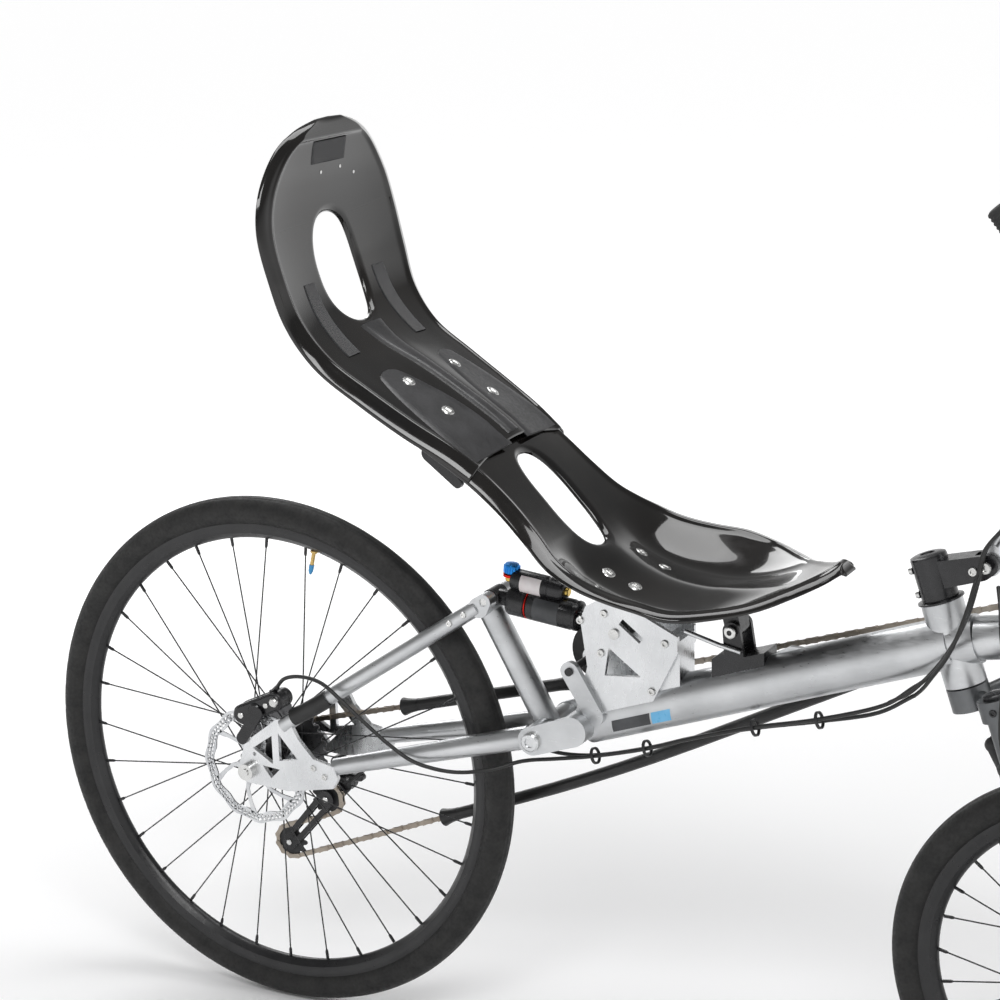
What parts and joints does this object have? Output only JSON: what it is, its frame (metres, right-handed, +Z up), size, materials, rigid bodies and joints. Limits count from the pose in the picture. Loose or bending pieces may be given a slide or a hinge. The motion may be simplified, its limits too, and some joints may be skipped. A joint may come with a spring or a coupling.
{
  "type": "recumbent bicycle",
  "caption": "Short recumbent bicycle with a two-part shell seat, sprung rear swingarm, small front wheel, disc brakes and a folding handlebar mast.",
  "frame": {"origin": "the rider's seat point, on the middle of the seat pan's basin", "axes": "+X forward, +Y to the drive side (rider's left), +Z up; the wheels stand on level ground 0.652 m below the origin"},
  "size_m": [1.946, 0.454, 1.1854],
  "materials": {
    "bare_aluminium": "satin",
    "black_anodised": "satin",
    "black_wheel": "satin",
    "polished_aluminium": "polished",
    "chrome": "polished",
    "brushed_steel": "brushed",
    "chain_steel": "satin",
    "black_plastic": "matte",
    "rubber": "matte",
    "tyre": "matte",
    "glossy_shell": "gloss",
    "grey_metal": "satin"
  },
  "bodies": {
    "root": {"frame": "bare_aluminium", "boom": "bare_aluminium", "chainstays": "bare_aluminium", "seatstays": "bare_aluminium", "swingarm_strut": "bare_aluminium", "rear_dropouts": "bare_aluminium", "rear_axle": "black_anodised", "pivot_bolt": "polished_aluminium", "shock_body": "black_anodised", "shock_shaft": "chrome", "seat_bracket": "bare_aluminium", "front_seat_mount": "black_anodised", "idler": "black_plastic", "chain_upper_run": "chain_steel", "chain_lower_run": "chain_steel", "chain_tubes": "black_plastic", "rear_derailleur": "black_anodised", "rear_caliper": "black_anodised", "rear_brake_hose": "rubber", "shift_cable": "rubber"},
    "rear_wheel": {"rear_tyre": "tyre", "rear_rim": "black_wheel", "rear_spokes": "black_wheel", "rear_hub": "black_anodised", "cassette": "brushed_steel", "rear_disc": "brushed_steel"},
    "steering": {"fork_crown": "grey_metal", "fork_lowers": "black_anodised", "front_axle": "black_anodised", "stem": "black_anodised", "front_caliper": "black_anodised", "front_brake_hose": "rubber"},
    "front_wheel": {"front_tyre": "tyre", "front_rim": "black_wheel", "front_spokes": "black_wheel", "front_hub": "black_anodised", "front_disc": "brushed_steel"},
    "handlebars": {"handlebar_mast": "black_anodised", "handlebar": "black_anodised", "grips": "rubber", "brake_levers": "black_plastic"},
    "crankset": {"cranks": "black_anodised", "chainring": "black_anodised"},
    "right_pedal": {"right_pedal": "black_plastic"},
    "left_pedal": {"left_pedal": "black_plastic"},
    "seat": {"seat_back": "glossy_shell", "seat_pan": "glossy_shell", "seat_clamp": "black_anodised", "seat_hinge_lug": "black_anodised"},
    "seat_strut": {"seat_strut": "polished_aluminium"}
  },
  "joints": [
    {"name": "rear_wheel_spin", "type": "hinge", "parent": "root", "child": "rear_wheel", "pos_m": [-0.56, 0, -0.302], "axis": [0, 1, 0], "continuous": true},
    {"name": "steering", "type": "hinge", "parent": "root", "child": "steering", "pos_m": [0.356, 0, -0.032], "axis": [-0.309, 0, 0.9511], "range_deg": [-35, 35]},
    {"name": "front_wheel_spin", "type": "hinge", "parent": "steering", "child": "front_wheel", "pos_m": [0.531, 0, -0.409], "axis": [0, 1, 0], "continuous": true},
    {"name": "handlebar_fold", "type": "hinge", "parent": "steering", "child": "handlebars", "pos_m": [0.397, 0, 0.065], "axis": [0, 1, 0], "range_deg": [-45, 0]},
    {"name": "crank_spin", "type": "hinge", "parent": "root", "child": "crankset", "pos_m": [0.82, 0, 0.048], "axis": [0, 1, 0], "continuous": true},
    {"name": "right_pedal_spin", "type": "hinge", "parent": "crankset", "child": "right_pedal", "pos_m": [0.99, 0, 0.048], "axis": [0, 1, 0], "continuous": true},
    {"name": "left_pedal_spin", "type": "hinge", "parent": "crankset", "child": "left_pedal", "pos_m": [0.65, 0, 0.048], "axis": [0, 1, 0], "continuous": true},
    {"name": "seat_recline", "type": "hinge", "parent": "root", "child": "seat", "pos_m": [0.095, 0, -0.047], "axis": [0, 1, 0], "range_deg": [-6, 8]},
    {"name": "seat_strut_swing", "type": "hinge", "parent": "root", "child": "seat_strut", "pos_m": [-0.055, 0, -0.03], "axis": [0, 1, 0], "range_deg": [-8.9, 11.8]}
  ],
  "couplings": [
    {"joint": "seat_strut_swing", "follows": "seat_recline", "ratio": 1.45}
  ]
}
